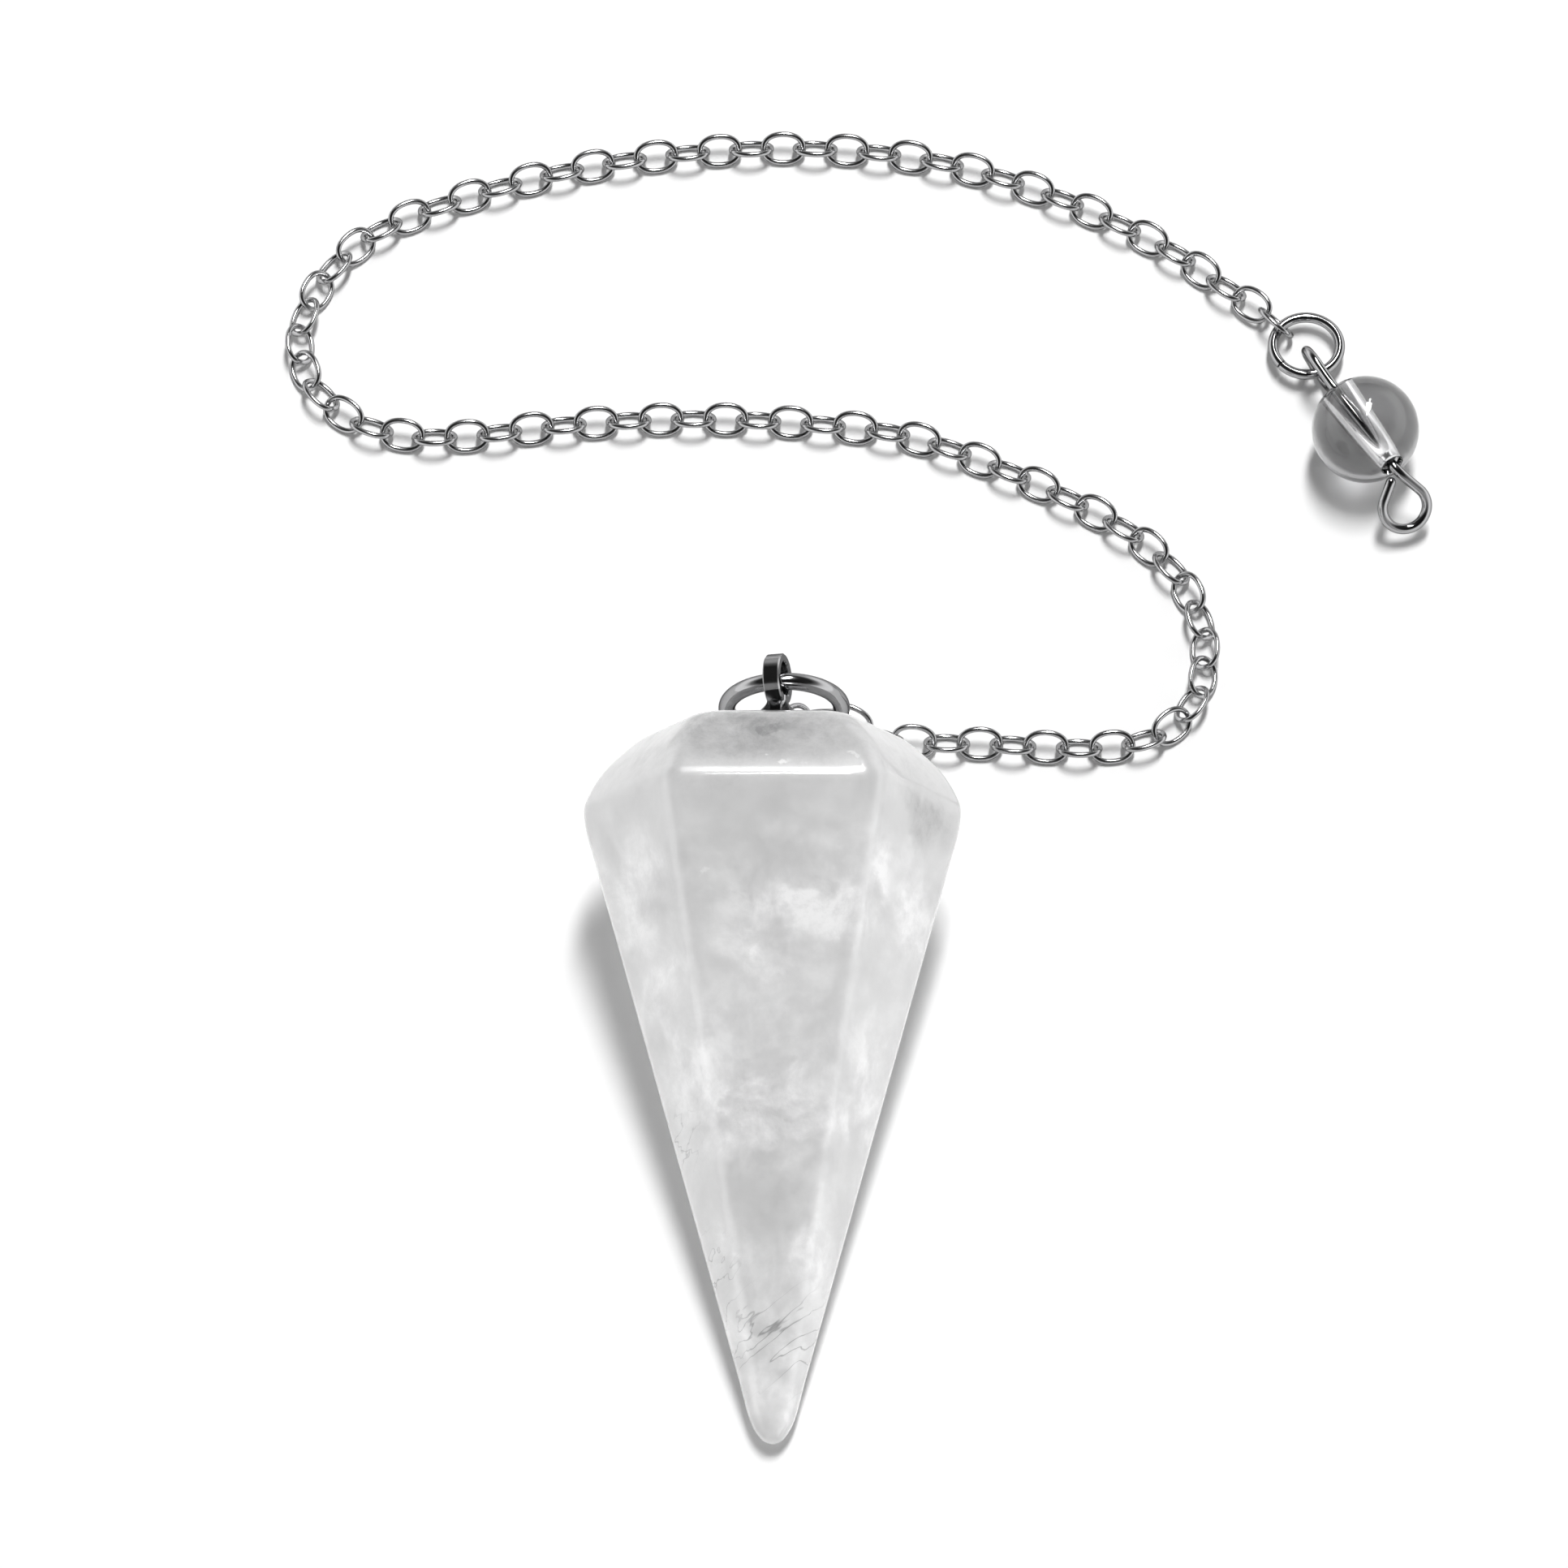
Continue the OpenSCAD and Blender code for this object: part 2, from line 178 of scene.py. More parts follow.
# The large ring stands across the stone's axis, and the small one lies nearly flat
ON_RING = Matrix.Translation(packed("pendant_ring")[0]) @ Matrix.Rotation(math.pi / 2, 4, "X")
end_ring_mid, end_ring_axes = packed("end_ring")
end_ring_up = Vector(end_ring_axes[:, 0])
if end_ring_up.z < 0:
    end_ring_up.negate()
ON_END_RING = (
    Matrix.Translation(end_ring_mid)
    @ Vector((0, 0, 1)).rotation_difference(end_ring_up).to_matrix().to_4x4()
)

# The pin slopes so that the bead and the loop in the small ring both touch the table
bead_mid = packed("bead")[0]
loop_rise = NEAR_OFF * math.cos(math.radians(PIN_ROLL))
bead_over_loop = BEAD_R - LOOP_R - PIN_WIRE / 2
pin_slope = (
    math.asin(bead_over_loop / math.hypot(NEAR_REACH, loop_rise))
    - math.atan2(loop_rise, NEAR_REACH)
)
ON_PIN = (
    Matrix.Translation(bead_mid)
    @ Matrix.Rotation(math.radians(PIN_HEADING), 4, "Z")
    @ Matrix.Rotation(pin_slope, 4, "Y")
    @ Matrix.Rotation(math.radians(PIN_ROLL), 4, "X")
)


# Making meshes
def finish_mesh(bm, name, place=None, crease=None):
    """Puts a mesh in its place, closes it, turns its faces outwards, creases it and makes it an object."""
    if place is not None:
        bmesh.ops.transform(bm, matrix=place, verts=bm.verts)
    bmesh.ops.remove_doubles(bm, verts=bm.verts, dist=WELD)
    bmesh.ops.recalc_face_normals(bm, faces=bm.faces)
    bmesh.ops.scale(bm, vec=(MM, MM, MM), verts=bm.verts)
    for face in bm.faces:
        face.smooth = True
    if crease is not None:
        for edge in bm.edges:
            if len(edge.link_faces) == 2 and edge.calc_face_angle(0) > math.radians(crease):
                edge.smooth = False
    mesh = bpy.data.meshes.new(name)
    bm.to_mesh(mesh)
    bm.free()
    piece = bpy.data.objects.new(name, mesh)
    scene.collection.objects.link(piece)
    return piece


def keep(piece, material, node):
    """Gives a finished piece its material and its body, and hides the imported node that it stands for."""
    piece.data.materials.append(material)
    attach(piece, "root")
    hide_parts(node)


def mapped_grid(around, along, place):
    """A sheet of around by along cells, bent by place(u, v) into a shape that closes on itself."""
    bm = bmesh.new()
    bmesh.ops.create_grid(bm, x_segments=around, y_segments=along, size=0.5)
    for v in bm.verts:
        v.co = place(v.co.x + 0.5, v.co.y + 0.5)
    return bm


def spun(points, steps, axis=(0, 0, 1), closed_profile=False):
    """A profile, given as a list of points, turned once round an axis through the origin."""
    bm = bmesh.new()
    made = [bm.verts.new(p) for p in points]
    edges = [bm.edges.new(pair) for pair in zip(made, made[1:])]
    if closed_profile:
        edges.append(bm.edges.new((made[-1], made[0])))
    bmesh.ops.spin(bm, geom=made + edges, axis=axis, angle=2 * math.pi, steps=steps, use_merge=True)
    bmesh.ops.remove_doubles(bm, verts=bm.verts, dist=WELD)
    return bm


def swept(path, radius, sides, dome_steps):
    """Round wire along a path of points, with a half ball at each end, or open where dome_steps is 0."""
    points = [Vector(p) for p in path]
    last = len(points) - 1
    rows = []
    side = None
    for i, middle in enumerate(points):
        along = (points[min(i + 1, last)] - points[max(i - 1, 0)]).normalized()
        side = along.orthogonal() if side is None else side - along * side.dot(along)
        side.normalize()
        rows.append((middle, side.copy(), along, 1.0))

    def half_ball(row, outwards):
        """Rows from the end of the wire to its pole."""
        middle, side, along, _ = row
        angles = [math.pi / 2 * (k + 1) / dome_steps for k in range(dome_steps)]
        return [(middle + along * outwards * radius * math.sin(a), side, along, math.cos(a)) for a in angles]

    rows = half_ball(rows[0], -1)[::-1] + rows + half_ball(rows[-1], 1)

    def place(u, v):
        middle, side, along, share = rows[round(v * (len(rows) - 1))]
        a = 2 * math.pi * u
        out = side * math.cos(a) + along.cross(side) * math.sin(a)
        return middle + out * radius * share

    return mapped_grid(sides, len(rows) - 1, place)


def joined(*parts):
    """Several meshes as one."""
    whole = bmesh.new()
    for bm in parts:
        mesh = bpy.data.meshes.new("part")
        bm.to_mesh(mesh)
        bm.free()
        whole.from_mesh(mesh)
        bpy.data.meshes.remove(mesh)
    return whole


def curve_between(before, start, end, after, t):
    """Value at share t of the way from start to end, on a smooth curve that heeds their neighbours."""
    slope = end - before
    bend = 2 * before - 5 * start + 4 * end - after
    twist = 3 * start - before - 3 * end + after
    return 0.5 * (2 * start + slope * t + bend * t * t + twist * t ** 3)


def smooth_rows(rows, steps):
    """A table's rows, with more rows between them on one smooth curve."""
    last = len(rows) - 1
    made = []
    for i in range(last):
        around = (rows[max(i - 1, 0)], rows[i], rows[i + 1], rows[min(i + 2, last)])
        for k in range(steps):
            made.append(tuple(curve_between(*column, k / steps) for column in zip(*around)))
    return made + [rows[-1]]


# Making materials
# Sockets of a Mix node that mixes colours
COLOUR_A = 6
COLOUR_B = 7
MIXED = 2
# Sizes across of the quartz's clouds and of its wisps, of the metal's draw marks and of the bead's haze
CLOUD_SIZE = 3.333
WISP_SIZE = 2.632
DRAW_SIZE = 0.7143
HAZE_SIZE = 1.4286
# How far the clouds' edges are torn to and fro
TEAR = 4.5
# Length, width and depth of a hairline crack's stretches, and how it slants across the point
CRACK_SIZE = (6.0, 1.0, 2.0)
CRACK_SLANT = 36
# How deep light scatters in the milky quartz, and the depths of the polish marks on quartz and metal
SCATTER = 0.4
QUARTZ_MARKS = 0.1
METAL_MARKS = 0.03
# Half the height over which the bead's painted shade fades at its middle
SHADE_FADE = 0.6
# A patch is full up to the first share of its reach and gone past the second
PATCH_FULL = 0.2
PATCH_GONE = 1.35

# White veils, dark patches, hairline cracks, and white nicks with a painted light at the tip, in the stone,
# each with its middle, its reach along x, y and z, and its strength
VEILS = [
    ((2.5, 6.1, 12.4), (4.0, 1.9, 2.4), 1.0),
    ((-0.6, 4.2, 11.6), (2.2, 1.5, 1.8), 0.7),
    ((5.6, 8.2, 12.0), (1.1, 2.4, 2.0), 1.0),
    ((7.2, 7.0, 8.7), (1.9, 1.6, 2.4), 1.0),
    ((-5.2, 3.0, 8.8), (3.4, 1.3, 3.0), 0.9),
    ((-4.0, -2.0, 8.0), (3.4, 3.8, 3.4), 0.85),
    ((-0.2, -3.8, 8.6), (4.2, 2.6, 2.6), 1.0),
    ((4.9, -1.9, 7.0), (1.5, 3.6, 3.0), 0.9),
    ((-2.4, -10.9, 4.2), (1.8, 2.4, 2.4), 0.8),
    ((2.5, -10.6, 4.6), (1.4, 2.1, 2.4), 1.0),
    ((0.4, -13.6, 3.2), (3.0, 1.8, 2.0), 0.8),
    ((0.1, -18.2, 2.0), (1.8, 2.2, 2.4), 1.0),
    ((-7.3, 8.2, 9.6), (3.4, 3.0, 4.4), 0.7),
]
DARK_PATCHES = [
    ((0.5, 15.0, 15.4), (1.1, 0.9, 2.6), 1.0),
    ((2.8, 14.8, 15.4), (1.3, 0.6, 2.6), 0.45),
    ((8.3, 12.2, 11.2), (2.2, 1.6, 3.0), 0.8),
    ((0.3, -8.0, 6.3), (2.2, 2.4, 1.5), 0.3),
    # The last and widest darkens the whole dome
    ((0.0, 17.0, 12.0), (13.0, 6.6, 11.0), 0.9),
]
CRACKS = [
    ((0.4, -14.4, 3.0), (3.2, 3.0, 3.0), 0.8),
    ((-2.9, -11.5, 3.0), (1.8, 3.0, 3.0), 0.7),
    ((-5.4, -4.4, 5.0), (2.0, 1.8, 4.0), 0.6),
]
NICKS_AND_TIP_LIGHT = [
    ((-0.4, 13.5, 16.5), (0.25, 0.20, 0.6), 1.0),
    ((0.4, 12.6, 16.5), (0.35, 0.18, 0.6), 1.0),
    ((2.0, 12.5, 16.5), (0.6, 0.15, 0.6), 0.8),
    ((3.9, 13.0, 16.2), (0.3, 0.15, 0.6), 0.8),
    ((-3.4, 7.6, 14.2), (0.2, 0.15, 0.6), 1.0),
    # Painted light: the tip is made white where light shines through it
    ((0.1, -18.2, 2.2), (1.5, 2.0, 2.8), 0.55),
]


def linear(hex_colour):
    """An sRGB hex value as linear RGBA."""
    parts = [int(hex_colour[i:i + 2], 16) / 255 for i in (1, 3, 5)]
    return tuple(c / 12.92 if c <= 0.04045 else ((c + 0.055) / 1.055) ** 2.4 for c in parts) + (1.0,)


def per_metre(size):
    """Scale of a pattern whose lumps are this many millimetres across."""
    return 1 / (size * MM)


def metres(lengths):
    """Millimetres as metres."""
    return tuple(v * MM for v in lengths)


def add_node(tree, kind, settings=None, links=None):
    """Adds a node, sets its fields, sockets and a ramp's grey stops, and links other outputs into it."""
    made = tree.nodes.new(kind)
    for key, value in (settings or {}).items():
        if key == "stops":
            for place, _ in value[1:-1]:
                made.color_ramp.elements.new(place)
            for element, (place, level) in zip(made.color_ramp.elements, value):
                element.position = place
                element.color = (level, level, level, 1)
        elif isinstance(key, int) or key in made.inputs:
            made.inputs[key].default_value = value
        else:
            setattr(made, key, value)
    for key, source in (links or {}).items():
        tree.links.new(source, made.inputs[key])
    return made


def new_material(name):
    """An empty material and its node tree."""
    material = bpy.data.materials.new(name)
    material.use_nodes = True
    tree = material.node_tree
    tree.nodes.clear()
    return material, tree


def patches(tree, place, spots):
    """Soft round patches: full in the middle of each, gone past its reach, the stronger where two meet."""
    total = None
    for middle, reach, strength in spots:
        away = add_node(tree, "ShaderNodeVectorMath", {"operation": "SUBTRACT", 1: metres(middle)},
                        {0: place})
        share = add_node(tree, "ShaderNodeVectorMath", {"operation": "DIVIDE", 1: metres(reach)},
                         {0: away.outputs["Vector"]})
        far = add_node(tree, "ShaderNodeVectorMath", {"operation": "LENGTH"}, {0: share.outputs["Vector"]})
        spot = add_node(tree, "ShaderNodeMapRange",
                        {"interpolation_type": "SMOOTHSTEP", "From Min": PATCH_GONE, "From Max": PATCH_FULL,
                         "To Min": 0.0, "To Max": strength},
                        {"Value": far.outputs["Value"]}).outputs["Result"]
        if total is None:
            total = spot
        else:
            total = add_node(tree, "ShaderNodeMath", {"operation": "MAXIMUM"},
                             {0: total, 1: spot}).outputs["Value"]
    return total


# Natural quartz, cut and tumble polished: a hard wet gloss over a body that is clear here and milky there
def quartz_polished():
    material, tree = new_material("quartz_polished")
    place = add_node(tree, "ShaderNodeTexCoord").outputs["Object"]
    # The veils and dark patches are pushed about, so that they have torn edges
    stir = add_node(tree, "ShaderNodeTexNoise",
                    {"Scale": per_metre(CLOUD_SIZE), "Detail": 8.0, "Roughness": 0.6}, {"Vector": place})
    pushed = add_node(tree, "ShaderNodeVectorMath", {"operation": "MULTIPLY_ADD", 1: metres((TEAR,) * 3)},
                      {0: stir.outputs["Color"], 2: place})
    torn = add_node(tree, "ShaderNodeVectorMath", {"operation": "SUBTRACT", 1: metres((TEAR / 2,) * 3)},
                    {0: pushed.outputs["Vector"]}).outputs["Vector"]
    veils = patches(tree, torn, VEILS)
    dark_patches = patches(tree, torn, DARK_PATCHES)
    # Clouds, and the fine crumbs of white inside them
    cloud = add_node(tree, "ShaderNodeTexNoise",
                     {"Scale": per_metre(CLOUD_SIZE), "Detail": 12.0, "Roughness": 0.76, "Distortion": 0.2},
                     {"Vector": place}).outputs["Fac"]
    milky = add_node(tree, "ShaderNodeValToRGB", {"stops": [(0.38, 0.0), (0.50, 0.40), (0.62, 1.0)]},
                     {"Fac": cloud}).outputs["Color"]
    # Ragged wisps where healed cracks catch the light
    wisp = add_node(tree, "ShaderNodeTexNoise",
                    {"noise_type": "RIDGED_MULTIFRACTAL", "Scale": per_metre(WISP_SIZE), "Detail": 10.0,
                     "Roughness": 0.6, "Distortion": 0.3}, {"Vector": place})
    wispy = add_node(tree, "ShaderNodeValToRGB", {"stops": [(0.35, 0.0), (0.95, 1.0)]},
                     {"Fac": wisp.outputs["Fac"]})
    mixed = add_node(tree, "ShaderNodeMath", {"operation": "MULTIPLY_ADD", 1: 0.35},
                     {0: wispy.outputs["Color"], 2: milky})
    white = add_node(tree, "ShaderNodeMath", {"operation": "MULTIPLY", "use_clamp": True},
                     {0: mixed.outputs["Value"], 1: veils})
    haze = add_node(tree, "ShaderNodeMath", {"operation": "MULTIPLY_ADD", 1: 0.50, "use_clamp": True},
                    {0: milky, 2: white.outputs["Value"]}).outputs["Value"]
    body = add_node(tree, "ShaderNodeMix",
                    {"data_type": "RGBA", COLOUR_A: linear("#ebebeb"), COLOUR_B: linear("#ffffff")},
                    {"Factor": haze})
    # Hairline cracks: thin dark lines that run up to the right across the point
    slanted = add_node(tree, "ShaderNodeMapping",
                       {"vector_type": "TEXTURE", "Rotation": (0.0, 0.0, math.radians(CRACK_SLANT)),
                        "Scale": metres(CRACK_SIZE)}, {"Vector": place})
    hair = add_node(tree, "ShaderNodeTexNoise", {"Scale": 1.0, "Detail": 3.0, "Roughness": 0.45},
                    {"Vector": slanted.outputs["Vector"]})
    line = add_node(tree, "ShaderNodeValToRGB", {"stops": [(0.484, 0.0), (0.5, 1.0), (0.516, 0.0)]},
                    {"Fac": hair.outputs["Fac"]})
    crack = add_node(tree, "ShaderNodeMath", {"operation": "MULTIPLY"},
                     {0: line.outputs["Color"], 1: patches(tree, place, CRACKS)})
    mottle = add_node(tree, "ShaderNodeMapRange",
                      {"From Min": 0.36, "From Max": 0.62, "To Min": 0.35, "To Max": 1.1}, {"Value": cloud})
    mottled_dark = add_node(tree, "ShaderNodeMath", {"operation": "MULTIPLY"},
                     {0: dark_patches, 1: mottle.outputs["Result"]})
    dark = add_node(tree, "ShaderNodeMath", {"operation": "MAXIMUM", "use_clamp": True},
                    {0: crack.outputs["Value"], 1: mottled_dark.outputs["Value"]})
    darkened = add_node(tree, "ShaderNodeMix", {"data_type": "RGBA", COLOUR_B: linear("#8c8c8d")},
                      {"Factor": dark.outputs["Value"], COLOUR_A: body.outputs[MIXED]})
    # Nicks in the polish show white, and painted light makes the tip white
    colour = add_node(tree, "ShaderNodeMix", {"data_type": "RGBA", COLOUR_B: linear("#ffffff")},
                      {"Factor": patches(tree, torn, NICKS_AND_TIP_LIGHT), COLOUR_A: darkened.outputs[MIXED]})
    # Milky places let less light through
    clear = add_node(tree, "ShaderNodeMapRange", {"To Min": 0.34, "To Max": 0.03}, {"Value": haze})
    bump = add_node(tree, "ShaderNodeBump", {"Strength": 0.03, "Distance": QUARTZ_MARKS * MM},
                    {"Height": cloud})
    shader = add_node(tree, "ShaderNodeBsdfPrincipled",
                      {"Roughness": 0.30, "IOR": 1.544, "Coat Weight": 1.0, "Coat Roughness": 0.03,
                       "Coat IOR": 1.5, "Subsurface Weight": 0.6, "Subsurface Radius": (1.0, 1.0, 1.0),
                       "Subsurface Scale": SCATTER * MM},
                      {"Base Color": colour.outputs[MIXED], "Transmission Weight": clear.outputs["Result"],
                       "Normal": bump.outputs["Normal"]})
    add_node(tree, "ShaderNodeOutputMaterial", links={"Surface": shader.outputs["BSDF"]})
    return material


# Wire and strip under bright rhodium-coloured plating, barrel polished: near-mirror, with faint draw marks
def plated_bright(name, tone, worn_tone, roughness):
    material, tree = new_material(name)
    place = add_node(tree, "ShaderNodeTexCoord").outputs["Object"]
    marks = add_node(tree, "ShaderNodeTexNoise",
                     {"Scale": per_metre(DRAW_SIZE), "Detail": 4.0, "Roughness": 0.6},
                     {"Vector": place}).outputs["Fac"]
    worn = add_node(tree, "ShaderNodeMapRange", {"To Min": roughness * 0.7, "To Max": roughness * 1.6},
                    {"Value": marks})
    shade = add_node(tree, "ShaderNodeMix",
                     {"data_type": "RGBA", COLOUR_A: linear(tone), COLOUR_B: linear(worn_tone)},
                     {"Factor": marks})
    bump = add_node(tree, "ShaderNodeBump", {"Strength": 0.08, "Distance": METAL_MARKS * MM},
                    {"Height": marks})
    shader = add_node(tree, "ShaderNodeBsdfPrincipled", {"Metallic": 1.0, "Specular Tint": linear("#808080")},
                      {"Base Color": shade.outputs[MIXED], "Roughness": worn.outputs["Result"],
                       "Normal": bump.outputs["Normal"]})
    add_node(tree, "ShaderNodeOutputMaterial", links={"Surface": shader.outputs["BSDF"]})
    return material


# Clear glass bead, ground round and fire polished: a lens over the table, with a trace of haze
def glass_polished():
    material, tree = new_material("clear_bead_glass")
    place = add_node(tree, "ShaderNodeTexCoord").outputs["Object"]
    # Painted shade: its lower half is tinted grey for the bead's own shade that lies under it
    height = add_node(tree, "ShaderNodeSeparateXYZ", links={"Vector": place})
    middle = ON_PIN.translation.z
    upper = add_node(tree, "ShaderNodeMapRange",
                     {"From Min": (middle - SHADE_FADE) * MM, "From Max": (middle + SHADE_FADE) * MM},
                     {"Value": height.outputs["Z"]})
    colour = add_node(tree, "ShaderNodeMix",
                      {"data_type": "RGBA", COLOUR_A: linear("#959596"), COLOUR_B: linear("#e8e8e9")},
                      {"Factor": upper.outputs["Result"]})
    haze = add_node(tree, "ShaderNodeTexNoise", {"Scale": per_metre(HAZE_SIZE), "Detail": 5.0},
                    {"Vector": place})
    rough = add_node(tree, "ShaderNodeMapRange", {"To Min": 0.0, "To Max": 0.05},
                     {"Value": haze.outputs["Fac"]})
    shader = add_node(tree, "ShaderNodeBsdfPrincipled", {"Transmission Weight": 1.0, "IOR": 1.52},
                      {"Base Color": colour.outputs[MIXED], "Roughness": rough.outputs["Result"]})
    add_node(tree, "ShaderNodeOutputMaterial", links={"Surface": shader.outputs["BSDF"]})
    return material


quartz = quartz_polished()
ring_metal = plated_bright("rhodium_plated_wire", "#9c9c9d", "#b0b0b1", 0.10)
chain_metal = plated_bright("rhodium_plated_chain", "#a0a0a1", "#b8b8b9", 0.16)
clear_glass = glass_polished()


# Quartz point
def facet_at(angle, share):
    """Distance from the stone's axis to the facet that faces an angle. The lower and the upper are closer."""
    lying = abs(math.sin(angle)) > 0.9
    return (top_half if lying else (side_half + SIDE_OUT) * math.cos(math.pi / 6)) * share


def stone_corner(a, b, share, e):
    """Corner of a section, where the facets that face a and b meet, both moved in by e."""
    p = facet_at(a, share) - e
    q = facet_at(b, share) - e
    s = math.sin(b - a)
    return (p * math.sin(b) - q * math.sin(a)) / s, (q * math.cos(a) - p * math.cos(b)) / s


def stone_point(u, share, e):
    """Point round a section: a small arc at each corner, then the straight line to the next one."""
    k = int(u * 6) % 6
    t = (u * 6) % 1
    a = math.radians(30 + 60 * k)
    b = a + math.pi / 3
    here = stone_corner(a, b, share, e)
    if t < CORNER_SHARE:
        angle = a + (b - a) * t / CORNER_SHARE
        return here[0] + e * math.cos(angle), here[1] + e * math.sin(angle)
    ahead = stone_corner(b, b + math.pi / 3, share, e)
    f = (t - CORNER_SHARE) / (1 - CORNER_SHARE)
    x = here[0] + (ahead[0] - here[0]) * f
    y = here[1] + (ahead[1] - here[1]) * f
    return x + e * math.cos(b), y + e * math.sin(b)


def taper_row(z):
    """Row of the straight taper at a depth below the shoulder."""
    return -z, 1 - z / taper_len


def quartz_point():
    """Rounded hexagons from the bottom of the hole over the dome and down the taper to the tip."""
    dome = [(h * DOME_H, w) for h, w in DOME_ROWS] + [taper_row(SHOULDER_LEN / 2), taper_row(SHOULDER_LEN)]
    upper = [(z, w, EDGE_R) for z, w in smooth_rows(dome, 5)]
    taper_from = SHOULDER_LEN + ROW_GAP
    taper_to = POINT_LEN - NOSE_LEN - ROW_GAP
    taper = [taper_row(z) + (EDGE_R,) for z in np.linspace(taper_from, taper_to, 24)]
    nose = []
    for z, w, roundness in NOSE_ROWS:
        half = w * NOSE_R / side_half
        e = max(EDGE_R, roundness * ROUND_LIMIT * half * top_half) * min(1, w / NOSE_FADE)
        nose.append((NOSE_LEN - POINT_LEN - z * NOSE_LEN, half, e))
    rows = upper + taper + smooth_rows(nose, 4)
    floor = DOME_H - HOLE_DEPTH
    hole = [(floor, 0.0), (floor, HOLE_R), (DOME_H - MOUTH_DOWN, HOLE_R), (DOME_H, HOLE_R + MOUTH_OUT)]
    count = len(hole) + len(rows) + 1

    def place(u, v):
        i = round(v * (count - 1))
        if i < len(hole):
            z, r = hole[i]
            x, y = stone_point(u, 1.0, EDGE_R)
            a = math.atan2(y, x)
            return Vector((BAIL_OFF + r * math.cos(a), r * math.sin(a), z))
        if i == count - 1:
            return Vector((0, 0, rows[-1][0] - TIP_STEP))
        z, share, e = rows[i - len(hole)]
        x, y = stone_point(u, share, min(e, share * top_half * ROUND_LIMIT))
        return Vector((x, y, z))

    bm = mapped_grid(AROUND, count - 1, place)
    keep(finish_mesh(bm, "quartz_point", ON_STONE, crease=50), quartz, "crystal")


# Cap, eye and peg, soldered into one
def bail():
    base = DOME_H + SEAT_GAP
    peg_r = PEG_D / 2
    peg_end = base - PEG_LEN
    neck_r = NECK_D / 2
    cap_r = CAP_D / 2
    top = base + CAP_H + STRIP_T / 2
    profile = [(0, peg_end), (peg_r - PEG_EDGE, peg_end), (peg_r, peg_end + PEG_EDGE), (peg_r, base),
               (cap_r - CAP_EDGE, base), (cap_r, base + CAP_EDGE)]
    for share in np.linspace(0, 1, 21):
        flank_r = neck_r + (cap_r - neck_r) * (1 - share) ** CAP_FLARE
        profile.append((flank_r, base + CAP_RIM + (CAP_H - CAP_RIM) * share))
    profile += [(neck_r, top), (0, top)]
    cap = spun([(r, 0, z) for r, z in profile], steps=64)
    outer = EYE_D / 2
    inner = outer - STRIP_T
    half = STRIP_W / 2
    c = STRIP_EDGE
    strip = [(-half + c, inner), (half - c, inner), (half, inner + c), (half, outer - c),
             (half - c, outer), (-half + c, outer), (-half, outer - c), (-half, inner + c)]
    eye = spun([(x, 0, r) for x, r in strip], steps=72, axis=(1, 0, 0), closed_profile=True)
    bmesh.ops.translate(eye, vec=(0, 0, base + CAP_H + outer - STRIP_T / 2), verts=eye.verts)
    turn = Matrix.Rotation(math.radians(EYE_TURN), 4, "Z")
    place = ON_STONE @ Matrix.Translation((BAIL_OFF, 0, 0)) @ turn
    piece = finish_mesh(joined(cap, eye), "bail_cap_and_eye", place, crease=35)
    keep(piece, ring_metal, "bail")


# Jump rings
def jump_ring(name, node, r, wire, cut_at, place):
    """Open ring of round wire, cut by pliers: its two ends are a little out of line."""
    start = math.radians(cut_at) + CUT / r / 2
    sweep = 2 * math.pi - CUT / r
    path = []
    for share in np.linspace(0, 1, 97):
        a = start + sweep * share
        path.append((r * math.cos(a), r * math.sin(a), (share - 0.5) * wire * CUT_OFF_LINE))
    bm = swept(path, wire / 2, sides=24, dome_steps=0)
    bmesh.ops.holes_fill(bm, edges=bm.edges, sides=0)
    keep(finish_mesh(bm, name, place, crease=60), ring_metal, node)


# Chain
def packed_links():
    """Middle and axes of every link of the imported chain, each found as one closed shell."""
    whole = bmesh.new()
    whole.from_mesh(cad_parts["chain"].data)
    bmesh.ops.remove_doubles(whole, verts=whole.verts, dist=WELD * MM)
    seen = set()
    found = []
    for start in whole.verts:
        if start.index in seen:
            continue
        seen.add(start.index)
        shell = []
        front = [start]
        while front:
            v = front.pop()
            shell.append(v.co[:])
            for edge in v.link_edges:
                w = edge.other_vert(v)
                if w.index not in seen:
                    seen.add(w.index)
                    front.append(w)
        found.append(middle_and_axes(np.array(shell) / MM))
    whole.free()
    return found


def chain():
    """Oval links of round wire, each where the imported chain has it."""
    def place(u, v):
        c = math.cos(2 * math.pi * u)
        s = math.sin(2 * math.pi * u)
        middle = Vector((
            LINK_HALF * math.copysign(abs(c) ** LINK_BEND, c),
            LINK_SIDE * math.copysign(abs(s) ** LINK_BEND, s),
            0,
        ))
        out = Vector((c * LINK_SIDE, s * LINK_HALF, 0)).normalized()
        b = 2 * math.pi * v
        return middle + (out * math.cos(b) + Vector((0, 0, math.sin(b)))) * LINK_WIRE / 2

    one = mapped_grid(around=44, along=12, place=place)
    bmesh.ops.remove_doubles(one, verts=one.verts, dist=WELD)
    link = bpy.data.meshes.new("one_link")
    one.to_mesh(link)
    one.free()
    whole = bmesh.new()
    for middle, axes in packed_links():
        along = Vector(axes[:, 2])
        across = Vector(axes[:, 1])
        turn = Matrix((along, across, along.cross(across))).transposed().to_4x4()
        on_link = Matrix.Translation(middle) @ turn
        link.transform(on_link)
        whole.from_mesh(link)
        link.transform(on_link.inverted())
    bpy.data.meshes.remove(link)
    keep(finish_mesh(whole, "cable_chain"), chain_metal, "chain")


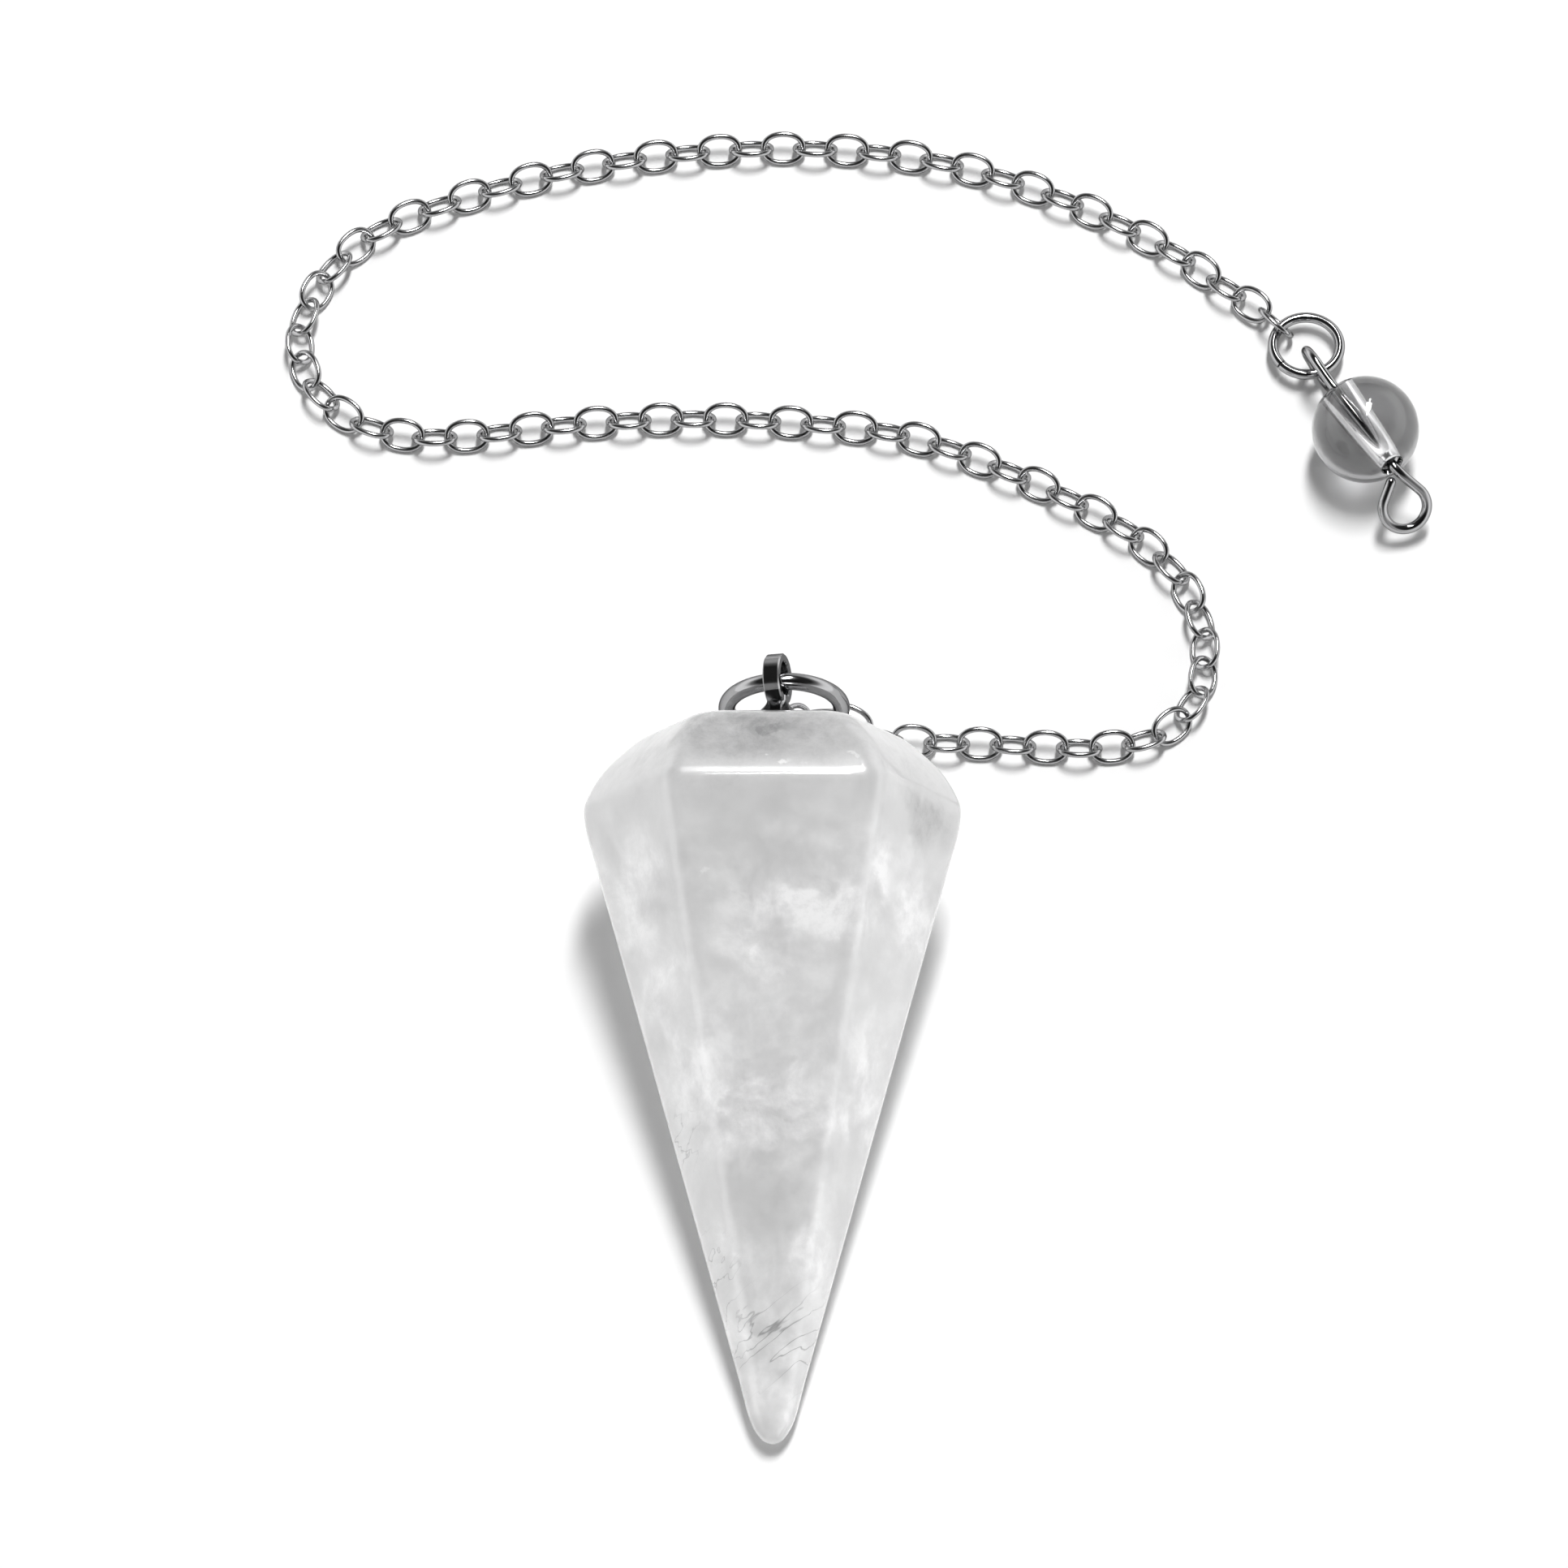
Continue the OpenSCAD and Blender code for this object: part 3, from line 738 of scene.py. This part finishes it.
# Eye pin
def loop_path(mid_x, mid_y):
    """Teardrop loop in a plane, from its open end round to the origin, where the shaft ends."""
    reach = math.hypot(mid_x, mid_y)
    head = math.atan2(mid_y, mid_x)
    half = math.asin(LOOP_R / reach)
    leg = reach * math.cos(half)
    out = head + half
    back = head - half
    made = [(d * math.cos(back), d * math.sin(back)) for d in np.linspace(LOOP_OPEN, leg, 6)[:-1]]
    for share in np.linspace(0, 1, 41):
        a = back - math.pi / 2 + (math.pi + 2 * half) * share
        made.append((mid_x + LOOP_R * math.cos(a), mid_y + LOOP_R * math.sin(a)))
    return made + [(d * math.cos(out), d * math.sin(out)) for d in np.linspace(leg, 0, 10)[1:]]


def eye_pin():
    shaft = BEAD_R + PIN_NECK
    near = [Vector((shaft + x, 0, y)) for x, y in loop_path(NEAR_REACH - shaft, -NEAR_OFF)]
    bent = Matrix.Translation((-shaft, 0, 0)) @ Matrix.Rotation(math.radians(-FREE_BEND), 4, "Y")
    far = [bent @ Vector((-x, -y, 0)) for x, y in loop_path(FAR_REACH - shaft, -FAR_OFF)]
    between = [Vector((x, 0, 0)) for x in np.linspace(shaft, -shaft, 22)[1:-1]]
    path = near + between + far[::-1]
    # The bends next to the bead are rounded as pliers leave them
    for _ in range(ROUND_PASSES):
        rounded = [path[0]]
        for before, p, after in zip(path, path[1:], path[2:]):
            by_the_bead = p.length > shaft - ROUND_INSIDE and abs(p.x) < shaft + ROUND_OUTSIDE
            rounded.append((before + 2 * p + after) / 4 if by_the_bead else p)
        path = rounded + [path[-1]]
    bm = swept(path, PIN_WIRE / 2, sides=20, dome_steps=5)
    keep(finish_mesh(bm, "eye_pin_wire", ON_PIN), ring_metal, "eye_pin")


# Bead
def bead():
    start = math.asin((BEAD_HOLE_R + GROUND_OUT) / BEAD_R)
    end = math.sqrt(BEAD_R ** 2 - BEAD_HOLE_R ** 2) - GROUND_IN
    ball = [(BEAD_R * math.cos(a), 0, BEAD_R * math.sin(a)) for a in np.linspace(start, math.pi - start, 65)]
    channel = [(x, 0, BEAD_HOLE_R) for x in np.linspace(-end, end, 25)]
    bm = spun(ball + channel, steps=128, axis=(1, 0, 0), closed_profile=True)
    keep(finish_mesh(bm, "round_bead", ON_PIN, crease=40), clear_glass, "bead")


quartz_point()
bail()
jump_ring("large_jump_ring", "pendant_ring", RING_R, RING_WIRE, RING_CUT_AT, ON_RING)
jump_ring("small_jump_ring", "end_ring", END_RING_R, END_RING_WIRE, END_RING_CUT_AT, ON_END_RING)
chain()
eye_pin()
bead()

# Table, light and camera
TABLE_HALF = 1500
# Lamps: direction by azimuth and elevation, distance, width, height, and power in watts
LAMPS = [
    ("lamp_behind", (13, 67), 1200, 200, 440, 10.1),
    ("strip_behind", (12, 67), 1250, 70, 900, 4.2),
]
# Camera: the point it looks at, its distance, its azimuth and elevation, its long lens, the width of its
# sensor, and the nearest and farthest that it sees
CAMERA_AIM = Vector((0.61, 19.5, 0.0))
CAMERA_AWAY = 450
CAMERA_AT = (180, 63.03)
LENS = 190.86
SENSOR_W = 36
CAMERA_NEAR = 10
CAMERA_FAR = 20000


def direction(azimuth, elevation):
    """Direction from the stone to a lamp or the camera. Azimuth 0 is behind the stone, 90 on its right."""
    a = math.radians(azimuth)
    e = math.radians(elevation)
    return Vector((math.sin(a) * math.cos(e), math.cos(a) * math.cos(e), math.sin(e)))


def look_back(thing, towards):
    """Turns a lamp or the camera to look against a direction, with its top up, and adds it to the scene."""
    thing.rotation_euler = towards.to_track_quat("Z", "Y").to_euler()
    scene.collection.objects.link(thing)


# Matt white board: a pale, even ground that takes soft shadows and gives no reflection
def table():
    bm = bmesh.new()
    bmesh.ops.create_grid(bm, x_segments=1, y_segments=1, size=TABLE_HALF)
    floor = finish_mesh(bm, "table")
    material, tree = new_material("white_table")
    shader = add_node(tree, "ShaderNodeBsdfPrincipled",
                      {"Base Color": linear("#f4f4f4"), "Roughness": 0.9, "Specular IOR Level": 0.1})
    add_node(tree, "ShaderNodeOutputMaterial", links={"Surface": shader.outputs["BSDF"]})
    floor.data.materials.append(material)


def softbox(name, at, distance, width, height, power):
    """Area light that looks at the origin."""
    lamp = bpy.data.lights.new(name, "AREA")
    lamp.shape = "RECTANGLE"
    lamp.size = width * MM
    lamp.size_y = height * MM
    lamp.energy = power
    light = bpy.data.objects.new(name, lamp)
    light.location = direction(*at) * distance * MM
    look_back(light, direction(*at))


def studio():
    """Lit walls under a dark ceiling, those at the sides brighter, so that the metal shows dark streaks."""
    world = bpy.data.worlds.new("studio")
    scene.world = world
    world.use_nodes = True
    tree = world.node_tree
    tree.nodes.clear()
    look = add_node(tree, "ShaderNodeTexCoord").outputs["Generated"]
    parts = add_node(tree, "ShaderNodeSeparateXYZ", links={"Vector": look})
    walls = add_node(tree, "ShaderNodeValToRGB",
                     {"stops": [(0.0, 1.0), (0.34, 0.9), (0.54, 0.2), (0.68, 0.02)]},
                     {"Fac": parts.outputs["Z"]})
    aside = add_node(tree, "ShaderNodeMath", {"operation": "ABSOLUTE"}, {0: parts.outputs["X"]})
    sides = add_node(tree, "ShaderNodeValToRGB", {"stops": [(0.0, 0.30), (0.30, 0.45), (0.60, 1.0)]},
                     {"Fac": aside.outputs["Value"]})
    room = add_node(tree, "ShaderNodeMath", {"operation": "MULTIPLY"},
                    {0: walls.outputs["Color"], 1: sides.outputs["Color"]})
    back = add_node(tree, "ShaderNodeBackground", {"Strength": 1.6}, {"Color": room.outputs["Value"]})
    add_node(tree, "ShaderNodeOutputWorld", links={"Surface": back.outputs["Background"]})
    scene.view_settings.view_transform = "Standard"


def camera():
    """Long lens from the photograph's angle."""
    data = bpy.data.cameras.new("photo_view")
    data.sensor_width = SENSOR_W
    data.lens = LENS
    data.clip_start = CAMERA_NEAR * MM
    data.clip_end = CAMERA_FAR * MM
    view = bpy.data.objects.new("photo_view", data)
    view.location = (CAMERA_AIM + direction(*CAMERA_AT) * CAMERA_AWAY) * MM
    look_back(view, direction(*CAMERA_AT))
    scene.camera = view


table()
for lamp in LAMPS:
    softbox(*lamp)
studio()
camera()
